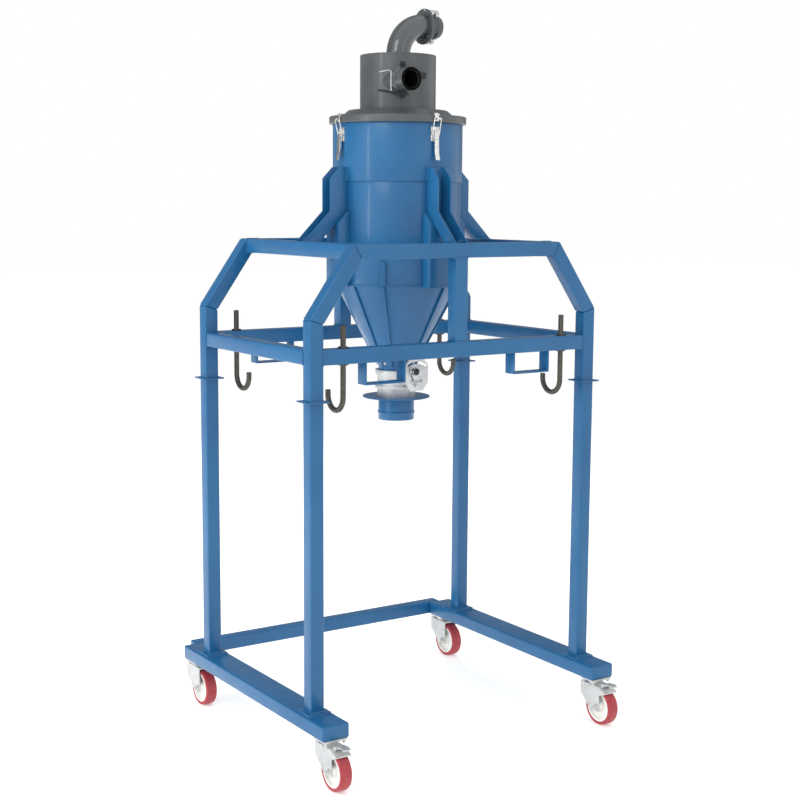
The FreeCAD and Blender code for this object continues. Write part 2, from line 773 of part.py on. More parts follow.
def valve_disc():
    """Throttle disc with its shaft, shut."""
    disc = upright(disc_radius, shaft_z - disc_thick / 2, shaft_z + disc_thick / 2)
    end = quadrant_out + quadrant_thick + handle_gap + handle_sheet
    shaft = rod(shaft_radius, Vector(0, -end, shaft_z), Vector(0, valve_flange_radius + 3, shaft_z))
    return disc.fuse(shaft).removeSplitter()


def valve_handle():
    """Arm on the shaft's end with the knob that clamps it."""
    near = -(quadrant_out + quadrant_thick + handle_gap)
    far = near - handle_sheet
    outline = [on_handle(-14, -13), on_handle(-14, 13), on_handle(handle_length, 10),
               on_handle(handle_length + 10, 5), on_handle(handle_length + 10, -5),
               on_handle(handle_length, -10)]
    arm = plate_xz(outline, far, near)
    arm = arm.cut(rod(shaft_radius, Vector(0, far, shaft_z), Vector(0, near, shaft_z)))
    x, z = on_handle(handle_length - 6)
    knob = rod(knob_radius, Vector(x, far, z), Vector(x, far - knob_length, z))
    return arm.fuse(knob).removeSplitter()


def bag_plate():
    return upright_ring(bag_plate_radius, spout_radius, valve_low - bag_plate_thick, valve_low)


def bag_spout():
    spout = upright(spout_radius, spout_low, valve_low)
    bead_low = valve_low - spout_bead_drop - spout_bead_height / 2
    spout = spout.fuse(upright(spout_radius + spout_bead, bead_low, bead_low + spout_bead_height))
    return spout.cut(upright(spout_radius - spout_wall, spout_low, valve_low))


# ---- nodes ----
def build_nodes():
    left_right = base_beams()
    nodes = {
        "base_beams": left_right,
        "base_cross_beam": [cross_beam()],
        "posts": posts(),
        "post_foot_plates": post_collars(foot_plate, foot_plate_thick, beam_top),
        "post_guide_plates": post_collars(guide_plate, guide_plate_thick, guide_plate_height),
        "portal_slants": portal_slants(),
        "top_beams_cross": top_beams_cross(),
        "top_beams_side": top_beams_side(),
        "mid_beams_cross": mid_beams_cross(),
        "mid_beams_side": mid_beams_side(),
        "centre_posts": centre_posts(),
        "fork_pockets": fork_pockets(),
        "bag_hooks": bag_hooks(),
        "drum_upper": [upper_drum()],
        "drum_lower": [lower_drum()],
        "cone": [cone()],
        "cone_ribs": cone_ribs(),
        "drum_ribs": drum_ribs(),
        "drum_pads": drum_pads(),
        "brackets": brackets(),
        "lid": [lid()],
        "hood_shell": [hood_shell()],
        "hood_top": [hood_top()],
        "outlet_elbow": [outlet_elbow()],
        "outlet_coupling": [outlet_coupling()],
        "inlet_pipe": [inlet_pipe()],
        "inlet_coupling": [inlet_coupling()],
        "latch_catches": [about_axis(latch_catch(), a) for a in STATIONS.values()],
        "latch_bases": [about_axis(latch_base(), a) for a in STATIONS.values()],
        "valve_body": [valve_body()],
        "valve_disc": [valve_disc()],
        "valve_handle": [valve_handle()],
        "bag_plate": [bag_plate()],
        "bag_spout": [bag_spout()],
    }
    places = castor_places()
    nodes["castor_mounts"] = [moved(castor_mount(), x, y) for x, y in places.values()]
    for name, (x, y) in places.items():
        braked = name.startswith("front")
        nodes["castor_fork_" + name] = [moved(castor_fork(braked), x, y)]
        nodes["castor_wheel_" + name] = [moved(castor_wheel(), x, y)]
        if braked:
            nodes["brake_pedal_" + name] = [moved(brake_pedal(), x, y)]
    for name, angle in STATIONS.items():
        nodes["latch_lever_" + name] = [about_axis(latch_lever(), angle)]
        nodes["latch_bail_" + name] = [about_axis(latch_bail(), angle)]
    return nodes


def export(nodes):
    os.makedirs("parts", exist_ok=True)
    for name, solids in nodes.items():
        shape = Part.makeCompound(solids) if len(solids) > 1 else solids[0]
        shape.translate(shift)
        shape.exportStep("parts/" + name + ".step")


nodes = build_nodes()
export(nodes)
print(len(nodes), "nodes")
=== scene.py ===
"""Cyclone separator with a bag-filling outlet in a wheeled steel frame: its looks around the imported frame.

Metres, +Z up, floor at Z = 0. The open front faces -Y and the cyclone's axis is upright.
"""

import json
import math

import bpy
from mathutils import Matrix, Vector

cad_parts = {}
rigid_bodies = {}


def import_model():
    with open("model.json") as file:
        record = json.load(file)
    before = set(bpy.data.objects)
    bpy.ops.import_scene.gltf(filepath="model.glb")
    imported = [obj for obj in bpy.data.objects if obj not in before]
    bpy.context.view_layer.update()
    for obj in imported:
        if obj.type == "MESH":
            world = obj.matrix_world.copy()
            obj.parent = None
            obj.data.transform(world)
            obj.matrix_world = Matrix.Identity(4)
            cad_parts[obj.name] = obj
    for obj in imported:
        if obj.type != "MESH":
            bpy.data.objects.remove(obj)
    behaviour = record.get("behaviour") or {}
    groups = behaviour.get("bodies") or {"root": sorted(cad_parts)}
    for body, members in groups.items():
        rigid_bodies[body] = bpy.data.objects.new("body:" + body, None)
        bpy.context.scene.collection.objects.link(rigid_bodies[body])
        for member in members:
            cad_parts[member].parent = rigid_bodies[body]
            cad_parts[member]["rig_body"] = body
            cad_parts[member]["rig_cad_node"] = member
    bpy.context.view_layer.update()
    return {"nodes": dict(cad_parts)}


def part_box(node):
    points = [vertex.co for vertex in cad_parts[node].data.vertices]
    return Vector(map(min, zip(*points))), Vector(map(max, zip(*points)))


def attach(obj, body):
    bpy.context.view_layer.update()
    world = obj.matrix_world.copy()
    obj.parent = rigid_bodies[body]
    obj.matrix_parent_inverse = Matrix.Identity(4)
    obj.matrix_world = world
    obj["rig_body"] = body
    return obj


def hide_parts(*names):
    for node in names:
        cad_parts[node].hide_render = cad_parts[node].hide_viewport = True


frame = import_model()

ops = bpy.ops
scene = bpy.context.scene
nodes = frame["nodes"]
MM = 0.001
X, Y, Z = Vector((1, 0, 0)), Vector((0, 1, 0)), Vector((0, 0, 1))
STATIONS = {"right": 0, "rear": 90, "left": 180, "front": 270}
CORNERS = ("front_left", "front_right", "rear_left", "rear_right")


# ---- materials ----
def linear(code):
    """Linear colour of an sRGB hex code."""
    shares = [int(code[i:i + 2], 16) / 255 for i in (1, 3, 5)]
    return [s / 12.92 if s <= 0.04045 else ((s + 0.055) / 1.055) ** 2.4 for s in shares] + [1.0]


def add(tree, kind, inputs, **settings):
    """Adds a node: settings are its options, inputs are values or the sockets that feed it."""
    made = tree.nodes.new("ShaderNode" + kind)
    for name, value in settings.items():
        setattr(made, name, value)
    for name, value in inputs.items():
        if isinstance(value, bpy.types.NodeSocket):
            tree.links.new(value, made.inputs[name])
        else:
            made.inputs[name].default_value = value
    return made


def finish(name, shades, cloud_mm, gloss, gloss_mm, grain_mm, grain_deep_mm, grain_strength=0.3,
           grain_stretch=1.0, contrast=0.15, **shader_values):
    """A whole finish from real sizes in mm.

    Its colour drifts between two shades in clouds, its roughness between two values of gloss in
    patches, and a grain that may be stretched along Z stands up from the surface."""
    made = bpy.data.materials.new(name)
    made.use_nodes = True
    tree = made.node_tree
    shader = tree.nodes["Principled BSDF"]
    for socket, value in shader_values.items():
        shader.inputs[socket.replace("_", " ")].default_value = value
    where = add(tree, "TexCoord", {}).outputs["Object"]
    lined = add(tree, "Mapping", {"Vector": where, "Scale": (1.0, 1.0, grain_stretch)}).outputs["Vector"]
    clouds = add(tree, "TexNoise", {"Vector": where, "Scale": 1 / (cloud_mm * MM), "Detail": 4.0,
                                    "Roughness": 0.55}).outputs["Fac"]
    patches = add(tree, "TexNoise", {"Vector": where, "Scale": 1 / (gloss_mm * MM), "Detail": 3.0})
    grain = add(tree, "TexNoise", {"Vector": lined, "Scale": 1 / (grain_mm * MM), "Detail": 3.0})
    tint = add(tree, "ValToRGB", {"Fac": clouds})
    for stop, place, code in zip(tint.color_ramp.elements, (0.5 - contrast, 0.5 + contrast), shades):
        stop.position, stop.color = place, linear(code)
    worn = add(tree, "MapRange", {"Value": patches.outputs["Fac"], "From Min": 0.3, "From Max": 0.7,
                                  "To Min": gloss[0], "To Max": gloss[1]})
    skin = add(tree, "Bump", {"Height": grain.outputs["Fac"], "Distance": grain_deep_mm * MM,
                              "Strength": grain_strength})
    for socket, source in (("Base Color", tint.outputs["Color"]), ("Roughness", worn.outputs["Result"]),
                           ("Normal", skin.outputs["Normal"])):
        tree.links.new(source, shader.inputs[socket])
    return made


MATERIALS = {
    # stoved gloss enamel on welded steel: a deep wet blue; its orange peel, 1 to 2 mm across on
    # the real thing, is drawn at 5 mm so that it shows as broken-up reflections
    "blue_paint": finish("stoved_blue_enamel", ("#155989", "#1A6191"), 260, (0.3, 0.42), 60, 5, 0.12, 0.2,
                         IOR=1.45, Coat_Weight=0.2, Coat_Roughness=0.1),
    # semi-gloss anthracite enamel on sheet steel: soft highlights, faintly mottled by the spray gun
    "grey_paint": finish("anthracite_enamel", ("#45494C", "#4D5255"), 120, (0.3, 0.42), 40, 4, 0.1, 0.25,
                         IOR=1.5, Coat_Weight=0.25, Coat_Roughness=0.15),
    # forged rod with a dark oiled skin: dull grey-brown metal, blotched by the fire scale under it
    "hook_steel": finish("oiled_forged_steel", ("#4A4843", "#625F57"), 9, (0.42, 0.6), 5, 2.5, 0.25, 0.35,
                         Metallic=0.7),
    # electroplated zinc on pressed steel: pale satin silver, with slightly cloudy passivated patches
    "zinc_steel": finish("bright_zinc_plate", ("#C2C4C4", "#D0D2D1"), 30, (0.3, 0.42), 14, 3, 0.06, 0.2,
                         Metallic=0.6),
    # drawn and polished stainless strip and wire: bright, with fine lengthwise drawing lines,
    # 0.1 mm wide on the real thing and drawn at 0.9 mm so that they show
    "latch_steel": finish("polished_stainless", ("#D6D6D3", "#E9E9E7"), 12, (0.16, 0.3), 4, 0.9, 0.04, 0.3,
                          grain_stretch=0.06, Metallic=1.0),
    # sand-cast, shot-blasted aluminium: grey silver with a pebbled skin that scatters light
    "cast_aluminium": finish("sand_cast_aluminium", ("#C6C8CA", "#D9DBDC"), 24, (0.4, 0.55), 6, 1.8, 0.3,
                             0.45, Metallic=0.75),
    # cast polyurethane tread: warm red, faintly translucent, dulled and scuffed by the floor
    "red_tread": finish("cast_polyurethane", ("#9B3038", "#AC3C43"), 18, (0.36, 0.6), 4, 1.6, 0.15, 0.35,
                        IOR=1.5, Subsurface_Weight=0.08, Subsurface_Scale=0.004),
    # moulded nylon wheel centre: milky off-white, waxy, with a little flow mottling
    "wheel_core": finish("moulded_white_nylon", ("#E2E1DC", "#EFEEEB"), 30, (0.34, 0.5), 8, 2.2, 0.08, 0.25,
                         IOR=1.53, Subsurface_Weight=0.12, Subsurface_Scale=0.006),
    # moulded phenolic and rubber: hard black with a shallow sheen and fine moulding grain
    "black_plastic": finish("moulded_black_phenolic", ("#0D0E0F", "#16181A"), 10, (0.3, 0.45), 5, 0.9, 0.05,
                            IOR=1.5),
}


# the same anthracite enamel on smooth drawn pipe: wet enough to carry one clean streak of light
PIPE_ENAMEL = finish("gloss_anthracite_enamel", ("#45494C", "#4D5255"), 120, (0.12, 0.2), 40, 4, 0.05, 0.15,
                     IOR=1.5, Coat_Weight=0.8, Coat_Roughness=0.06)
# moulded rubber seal: dead black, all but without gloss; its face ring is the coupling's gasket, and its
# sleeve, run 95 mm into the bore, is painted shade that darkens the inlet's mouth
SEAL_AND_MOUTH_SHADE = finish("moulded_black_rubber", ("#020202", "#060606"), 10, (0.8, 0.95), 5, 0.9, 0.05,
                     Specular_IOR_Level=0.1)
# anthracite enamel of the pipe coupling's lugs, nuts and latch stays, drawn near black and slightly rough:
# painted shade, for these parts lie in shadow beside and below the inlet
SHADE_DARKENED_ANTHRACITE = finish("blackened_iron", ("#232527", "#303336"), 12, (0.45, 0.6), 6, 1.5, 0.15, 0.4,
                    Specular_IOR_Level=0.3)


def pale_floor():
    """Matt sealed studio floor: all but white, its seal uneven only in how it takes the light."""
    return finish("matt_studio_floor", ("#FBFBFA", "#FCFCFB"), 1800, (0.75, 0.85), 500, 40, 0.05, 0.1,
                  IOR=1.3, Emission_Color=(1.0, 1.0, 1.0, 1.0), Emission_Strength=0.3)


# ---- modelling helpers ----
UPRIGHT = Matrix.Rotation(math.pi / 2, 4, "X")     # stands a plate made in X and Y up in X and Z
UPSIDE_DOWN = Matrix.Rotation(math.pi, 4, "X")
HALF_TURN = Matrix.Rotation(math.pi, 4, "Z")


def only(piece):
    ops.object.select_all(action="DESELECT")
    piece.select_set(True)
    bpy.context.view_layer.objects.active = piece


def started(name):
    """Names the primitive that was just added and opens it for editing, selected all over."""
    piece = bpy.context.object
    piece.name = piece.data.name = name
    ops.object.mode_set(mode="EDIT")
    return piece


def pulled(way):
    ops.mesh.extrude_region_move(TRANSFORM_OT_translate={"value": tuple(way)})


def closed_up(join=1e-6):
    """Leaves edit mode with doubled points merged and faces pointing outwards."""
    ops.mesh.select_all(action="SELECT")
    ops.mesh.remove_doubles(threshold=join)
    ops.mesh.normals_make_consistent(inside=False)
    ops.object.mode_set(mode="OBJECT")


def smoothed(piece, degrees):
    only(piece)
    ops.object.shade_smooth_by_angle(angle=math.radians(degrees))
    return piece


def turned(name, profile, steps=96, hollow=False):
    """A piece turned about Z: a circle pulled through each (radius, height) of its profile in mm."""
    ops.object.select_all(action="DESELECT")
    radius, height = profile[0]
    ops.mesh.primitive_circle_add(vertices=steps, radius=radius * MM, location=(0, 0, height * MM),
                                  fill_type="NOTHING" if hollow else "NGON")
    piece = started(name)
    for (r0, z0), (r1, z1) in zip(profile, profile[1:] + profile[:1] if hollow else profile[1:]):
        pulled((0, 0, (z1 - z0) * MM))
        if r1 != r0:
            ops.transform.resize(value=(r1 / r0, r1 / r0, 1), center_override=(0, 0, z1 * MM))
    closed_up()
    return piece


def pipe(name, outer, inner, low, high, steps):
    """A straight turned ring or pipe, in mm."""
    return turned(name, [(outer, low), (outer, high), (inner, high), (inner, low)], steps, hollow=True)


def drawn(name, points, closed=False):
    """Edges drawn through points in mm, from a plane merged to its middle; stays in edit mode."""
    ops.object.select_all(action="DESELECT")
    places = [Vector(p) * MM for p in points]
    ops.mesh.primitive_plane_add(size=MM, location=places[0])
    piece = started(name)
    ops.mesh.merge(type="CENTER")
    for a, b in zip(places, places[1:] + places[:1] if closed else places[1:]):
        ops.mesh.extrude_vertices_move(TRANSFORM_OT_translate={"value": tuple(b - a)})
    ops.mesh.select_all(action="SELECT")
    ops.mesh.remove_doubles(threshold=1e-6)
    return piece


def plate(name, outline, thick, corner=0.0):
    """A plate in X and Y from Z = 0 up, its outline in mm, with rounded corners."""
    piece = drawn(name, [(x, y, 0) for x, y in outline], closed=True)
    if corner:
        ops.mesh.bevel(offset=corner * MM, segments=4, affect="VERTICES")
        ops.mesh.select_all(action="SELECT")
    ops.mesh.edge_face_add()
    pulled((0, 0, thick * MM))
    closed_up()
    return piece


def wire(name, points, radius, corner=0.0, closed=False, sides=2):
    """Round wire or weld bead along points in mm, bent at each corner."""
    drawn(name, points, closed)
    if corner:
        ops.mesh.bevel(offset=corner * MM, segments=4, affect="VERTICES")
    ops.object.mode_set(mode="OBJECT")
    ops.object.convert(target="CURVE")
    curve = bpy.context.object.data
    curve.bevel_depth, curve.bevel_resolution, curve.use_fill_caps = radius * MM, sides, True
    ops.object.convert(target="MESH")
    piece = bpy.context.object
    ops.object.mode_set(mode="EDIT")
    closed_up()
    return smoothed(piece, 40)


def applied(piece, kind, **settings):
    only(piece)
    modifier = piece.modifiers.new(kind.lower(), kind)
    for name, value in settings.items():
        setattr(modifier, name, value)
    ops.object.modifier_apply(modifier=modifier.name)
    return piece


def rounded(piece, width, segments=2, angle=30):
    """Edges sharper than the angle rounded to a width in mm, the rest shaded smooth."""
    applied(piece, "BEVEL", width=width * MM, segments=segments, limit_method="ANGLE",
            angle_limit=math.radians(angle))
    return smoothed(piece, angle + 5)


def settled(piece, matrix=None):
    """Moves a piece by a matrix and leaves its place in its mesh."""
    only(piece)
    if matrix is not None:
        piece.matrix_world = matrix @ piece.matrix_world
    ops.object.transform_apply(location=True, rotation=True, scale=True)
    return piece


def shift(x, y, z):
    """Matrix that moves a piece by millimetres."""
    return Matrix.Translation(Vector((x, y, z)) * MM)


def about(way, degrees):
    return Matrix.Rotation(math.radians(degrees), 4, way)


def at(place, along=Z, spin=0.0):
    """Matrix that stands a piece made about Z at a place in metres, pointing along a direction."""
    turn = Vector(along).to_track_quat("Z", "Y").to_matrix().to_4x4()
    return Matrix.Translation(place) @ turn @ about("Z", spin)


def about_cyclone(degrees):
    return Matrix.Translation(axis) @ about("Z", degrees) @ Matrix.Translation(-axis)


def copied(piece, name, matrix):
    """A copy with its own mesh, moved by a matrix."""
    twin = piece.copy()
    twin.data = piece.data.copy()
    twin.name = twin.data.name = name
    scene.collection.objects.link(twin)
    return settled(twin, matrix)


def joined(name, pieces):
    only(pieces[0])
    for piece in pieces[1:]:
        piece.select_set(True)
    ops.object.join()
    pieces[0].name = pieces[0].data.name = name
    return pieces[0]


def repeated(name, piece, matrices):
    """One piece made of copies of a piece, which itself is used up."""
    made = [copied(piece, name, matrix) for matrix in matrices]
    bpy.data.objects.remove(piece)
    return joined(name, made)


def at_stations(name, piece):
    """A piece made at the right-hand station, repeated at all four round the cyclone."""
    return repeated(name, piece, [about_cyclone(angle) for angle in STATIONS.values()])


def dressed(piece, slot, body="root", stands_for=(), finish=None):
    """Gives a piece its finish, the slot's own unless another finish is given, its body and the nodes it
    stands for.
    """
    piece.data.materials.clear()
    piece.data.materials.append(finish or MATERIALS[slot])
    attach(piece, body)
    if stands_for:
        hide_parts(*stands_for)
    return piece


def cleaned_copy(node, name):
    """A copy of a CAD node's mesh with its triangles merged back into whole faces."""
    only(nodes[node])
    ops.object.duplicate()
    piece = bpy.context.object
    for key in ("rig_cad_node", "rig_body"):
        del piece[key]
    piece.parent = None
    piece.name = piece.data.name = name
    ops.object.mode_set(mode="EDIT")
    ops.mesh.select_all(action="SELECT")
    ops.mesh.remove_doubles(threshold=1e-5)
    ops.mesh.dissolve_limited(angle_limit=math.radians(1))
    ops.object.mode_set(mode="OBJECT")
    return piece


def softened(node, slot, width, body="root", segments=2, name=None):
    """A node's shape with its edges eased, standing for the node."""
    piece = rounded(cleaned_copy(node, name or node + "_eased"), width, segments)
    return dressed(piece, slot, body, (node,))


def tube_of(node, runs_along, corner):
    """Rolled square tube: only the edges that run along the tube are rounded."""
    shortest_run = 30 * MM
    piece = cleaned_copy(node, node + "_tube")
    points = piece.data.vertices
    for edge in piece.data.edges:
        run = points[edge.vertices[1]].co - points[edge.vertices[0]].co
        edge.select = runs_along(run.normalized()) and run.length > shortest_run
    for part in list(piece.data.vertices) + list(piece.data.polygons):
        part.select = False
    ops.object.mode_set(mode="EDIT")
    ops.mesh.select_mode(type="EDGE")
    ops.mesh.bevel(offset=corner * MM, segments=4, affect="EDGES")
    ops.mesh.select_mode(type="VERT")
    ops.object.mode_set(mode="OBJECT")
    return dressed(smoothed(piece, 30), "blue_paint", "root", (node,))


# ---- places, all read from the CAD nodes ----
def middle(node):
    low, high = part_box(node)
    return (low + high) / 2


def heights(node):
    """Radius, low and high of a node that is turned about the cyclone's axis, in mm."""
    low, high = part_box(node)
    return (high.x - low.x) / 2 / MM, low.z / MM, high.z / MM


axis = middle("drum_upper")
axis.z = 0
drum_radius = heights("drum_upper")[0]


# ---- frame: rolled square tube, plates and welds ----
HALF_TUBE = 30.0


def along_x(way):
    return abs(way.x) > 0.99


def along_y(way):
    return abs(way.y) > 0.99


def along_z(way):
    return abs(way.z) > 0.99


def along_slant(way):
    return 0.2 < abs(way.x) < 0.95 and abs(way.y) < 0.01


def any_way(way):
    return True


def frame_tubes():
    for node, runs_along in (("base_beams", any_way), ("base_cross_beam", along_x), ("posts", along_z),
                             ("portal_slants", along_slant), ("top_beams_cross", along_x),
                             ("top_beams_side", along_y), ("mid_beams_cross", along_x),
                             ("mid_beams_side", along_y), ("centre_posts", along_z)):
        tube_of(node, runs_along, 7.0 if node == "base_beams" else 6.0)


def sheet_steel():
    for node, width in (("post_foot_plates", 1.5), ("post_guide_plates", 1.2), ("fork_pockets", 1.5),
                        ("brackets", 1.5), ("drum_pads", 2.0), ("drum_ribs", 2.0), ("cone_ribs", 1.5)):
        softened(node, "blue_paint", width)


def weld_loop(x, y, z, normal, half=HALF_TUBE, bead=3.5):
    """Weld bead round a square of half a side, square to X, Y or Z, sizes in mm."""
    corners = [(-half, -half), (half, -half), (half, half), (-half, half)]
    place = {"X": lambda a, b: (x, y + a, z + b), "Y": lambda a, b: (x + a, y, z + b),
             "Z": lambda a, b: (x + a, y + b, z)}[normal]
    return wire("weld", [place(a, b) for a, b in corners], bead, corner=6.0, closed=True, sides=1)


def frame_welds():
    """Beads round the ends of the tubes: thin ones at the plates, full ones between tubes."""
    thin_bead, half_foot_plate = 2.5, 50.0
    posts_low, posts_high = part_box("posts")
    foot_under, foot_top = (corner.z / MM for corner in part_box("post_foot_plates"))
    guide_faces = [corner.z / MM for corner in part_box("post_guide_plates")]
    mid_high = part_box("mid_beams_cross")[1].z / MM
    top_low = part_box("top_beams_side")[0].z / MM
    mid_z, top_z = middle("mid_beams_cross").z / MM, middle("top_beams_side").z / MM
    side_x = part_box("top_beams_side")[1].x / MM - HALF_TUBE
    post_x = posts_high.x / MM - HALF_TUBE
    welds = []
    for post_y in (posts_low.y / MM + HALF_TUBE, posts_high.y / MM - HALF_TUBE):
        inner_y = post_y + math.copysign(HALF_TUBE, axis.y / MM - post_y)
        for sign in (-1, 1):
            x = sign * post_x
            welds.append(weld_loop(x, post_y, foot_top, "Z"))
            welds.append(weld_loop(x, post_y, foot_under + 0.5, "Z", half_foot_plate, thin_bead))
            for z in guide_faces:
                welds.append(weld_loop(x, post_y, z, "Z", bead=thin_bead))
            welds.append(weld_loop(x - sign * HALF_TUBE, post_y, mid_z, "X"))
            welds.append(weld_loop(x, inner_y, mid_z, "Y"))
            welds.append(weld_loop(sign * side_x, inner_y, top_z, "Y"))
        for z in (mid_high, top_low):
            welds.append(weld_loop(0.0, post_y, z, "Z"))
    dressed(joined("frame_welds", welds), "blue_paint")


def bracket_welds():
    """Upright beads where each bracket's flanges meet the drum, and along its foot on the beams."""
    half_bracket, foot_length = 33.0, 80.0
    low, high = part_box("brackets")
    top, foot, reach = high.z / MM, low.z / MM + 1, high.x / MM
    drum_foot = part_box("drum_upper")[0].z / MM
    out = math.sqrt(drum_radius ** 2 - half_bracket ** 2)
    beads = []
    for y in (axis.y / MM - half_bracket, axis.y / MM + half_bracket):
        beads.append(wire("weld", [(out, y, top), (out, y, drum_foot)], 2.5, sides=1))
        beads.append(wire("weld", [(reach - foot_length, y, foot), (reach, y, foot)], 3.0, sides=1))
    dressed(at_stations("bracket_welds", joined("weld", beads)), "blue_paint")


# ---- cyclone body ----
def on_axis(piece, slot, stands_for=(), finish=None):
    """Sets a turned piece on the cyclone's axis and dresses it."""
    return dressed(settled(piece, Matrix.Translation(axis)), slot, "root", stands_for, finish)


def drum():
    wall = 5.0
    radius, step, top = heights("drum_upper")
    upper = pipe("drum_shell_upper", radius, radius - wall, step, top, 144)
    on_axis(rounded(upper, 1.6, 3), "blue_paint", ("drum_upper",))
    lower_radius, low, high = heights("drum_lower")
    lower = pipe("drum_shell_lower", lower_radius, lower_radius - wall, low, high, 144)
    on_axis(rounded(lower, 1.2, 2), "blue_paint", ("drum_lower",))
    seam = wire("drum_seam_weld", [(lower_radius, 0, low + 2), (lower_radius, 0, step),
                                   (radius, 0, step + 2), (radius, 0, top)], 2.2, sides=1)
    behind_on_the_right = 118
    on_axis(settled(seam, about("Z", behind_on_the_right)), "blue_paint")


def cone():
    radius, low, high = heights("cone")
    neck, neck_height, rim, step, wall = 77.0, 12.0, 4.0, 5.0, 3.0
    shoulder = low + neck_height
    shell = turned("cone_shell", [(neck, low), (neck, shoulder), (radius - step, high - rim),
                                  (radius, high - rim), (radius, high), (radius - step - wall, high),
                                  (neck - wall, shoulder), (neck - wall, low)], 144, hollow=True)
    on_axis(rounded(shell, 1.0, 2, 25), "blue_paint", ("cone",))
    bead = turned("cone_rim_weld", [(radius + 1, high - rim - 1.5), (radius + 2.5, high),
                                    (radius + 1, high + 2.5), (radius - 2, high)], 96, hollow=True)
    smoothed(on_axis(bead, "blue_paint"), 60)


def lid():
    """Pressed lid: a rolled rim, a flat ledge and a short slope up to its crown."""
    radius, low, high = heights("lid")
    hood_radius = heights("hood_shell")[0]
    seat, rim, wall = radius - 20, low + 32, 4.0
    ledge, crown, bore = radius - 52, radius - 80, hood_radius - 20
    shell = turned("lid_shell", [(seat, low), (radius - 1.5, low), (radius, low + 3), (radius, rim - 3),
                                 (radius - 3, rim), (ledge, rim + 2), (crown, high), (bore, high),
                                 (bore, high - wall), (crown, high - wall), (ledge, rim + 2 - wall),
                                 (radius - wall - 3, rim - wall), (radius - wall, low + wall),
                                 (seat, low + wall)], 144, hollow=True)
    on_axis(rounded(shell, 1.5, 3, 14), "grey_paint", ("lid",))


def hood():
    radius, low, high = heights("hood_shell")
    top = heights("hood_top")[2]
    wall, outlet_radius = 4.0, 50.0
    shell = settled(pipe("hood_drum", radius, radius - wall, low, high, 128), Matrix.Translation(axis))
    inlet_pipe = middle("inlet_pipe")
    ops.mesh.primitive_cylinder_add(vertices=64, radius=36.5 * MM, depth=200 * MM,
                                    location=(inlet_pipe.x, inlet_pipe.y - 60 * MM, inlet_pipe.z),
                                    rotation=(math.pi / 2, 0, 0))
    cutter = bpy.context.object
    applied(shell, "BOOLEAN", object=cutter, operation="DIFFERENCE", solver="EXACT")
    bpy.data.objects.remove(cutter)
    dressed(smoothed(shell, 30), "grey_paint", stands_for=("hood_shell",))
    cap = pipe("hood_cap", radius, outlet_radius, high, top, 128)
    on_axis(rounded(cap, 1.5, 3), "grey_paint", ("hood_top",))
    beads = []
    for at_radius, height, size in ((radius + 1, low + 1, 3.5), (radius, high - 0.5, 1.2),
                                    (outlet_radius + 1.5, top + 1, 3)):
        inside, outside, under = at_radius - size, at_radius + size * 0.7, height - size * 0.6
        bead = turned("bead", [(inside, under), (outside, under), (outside, height),
                               (at_radius, height + size), (inside, height + size)], 96, hollow=True)
        beads.append(rounded(bead, 0.6, 2))
    on_axis(joined("hood_welds", beads), "grey_paint")


def hexagon_bolt(name, across, head, washer, stud):
    """Hexagon head or nut on a washer, standing on Z = 0, with its stud's end through it."""
    under, turning = 1.4, across / math.sqrt(3)
    disc = turned(name, [(washer, 0), (washer, 1.6)], 24)
    body = turned(name, [(turning, under), (turning, under + head * 0.86),
                         (turning * 0.84, under + head)], 6)
    end = turned(name, [(stud, under), (stud, under + head * 1.5), (stud * 0.75, under + head * 1.7)], 16)
    return joined(name, [rounded(disc, 0.4, 1), rounded(body, 0.4, 1, 20), rounded(end, 0.2, 1, 40)])


# ---- outlet elbow and its quick coupling ----
def cam_arm(name):
    """Cam lever of a quick coupling: eccentric head on a pin between two lugs, arm and pull ring.

    It lies along +X from its pin at the origin, on the coupling's surface below it (-Z)."""
    thick, ring_centre, ring_radius, ring_height = 11, 60, 8, 7
    outline = [(-8, -7), (6, -8), (16, -2), (50, 2), (54, 6), (50, 10), (14, 9), (2, 10), (-7, 7)]
    arm = settled(plate(name, outline, thick, 3.0), shift(0, thick / 2, 0) @ UPRIGHT)
    parts = [rounded(arm, 1.2, 2)]
    for y in (-6.5, 11.5):
        lug = rounded(plate(name, [(-9, -16), (9, -16), (7, 5), (-7, 5)], 5, 3.0), 0.8, 2)
        parts.append(settled(lug, shift(0, y, 0) @ UPRIGHT))
    pin = rounded(turned(name, [(3.2, -13), (3.2, 13)], 16), 0.5, 1)
    parts.append(settled(pin, UPRIGHT))
    ring = [(ring_centre + ring_radius * math.cos(turn), ring_radius * math.sin(turn), ring_height)
            for turn in (math.tau * step / 16 for step in range(16))]
    parts.append(wire(name, ring, 1.3, closed=True, sides=1))
    return joined(name, parts)


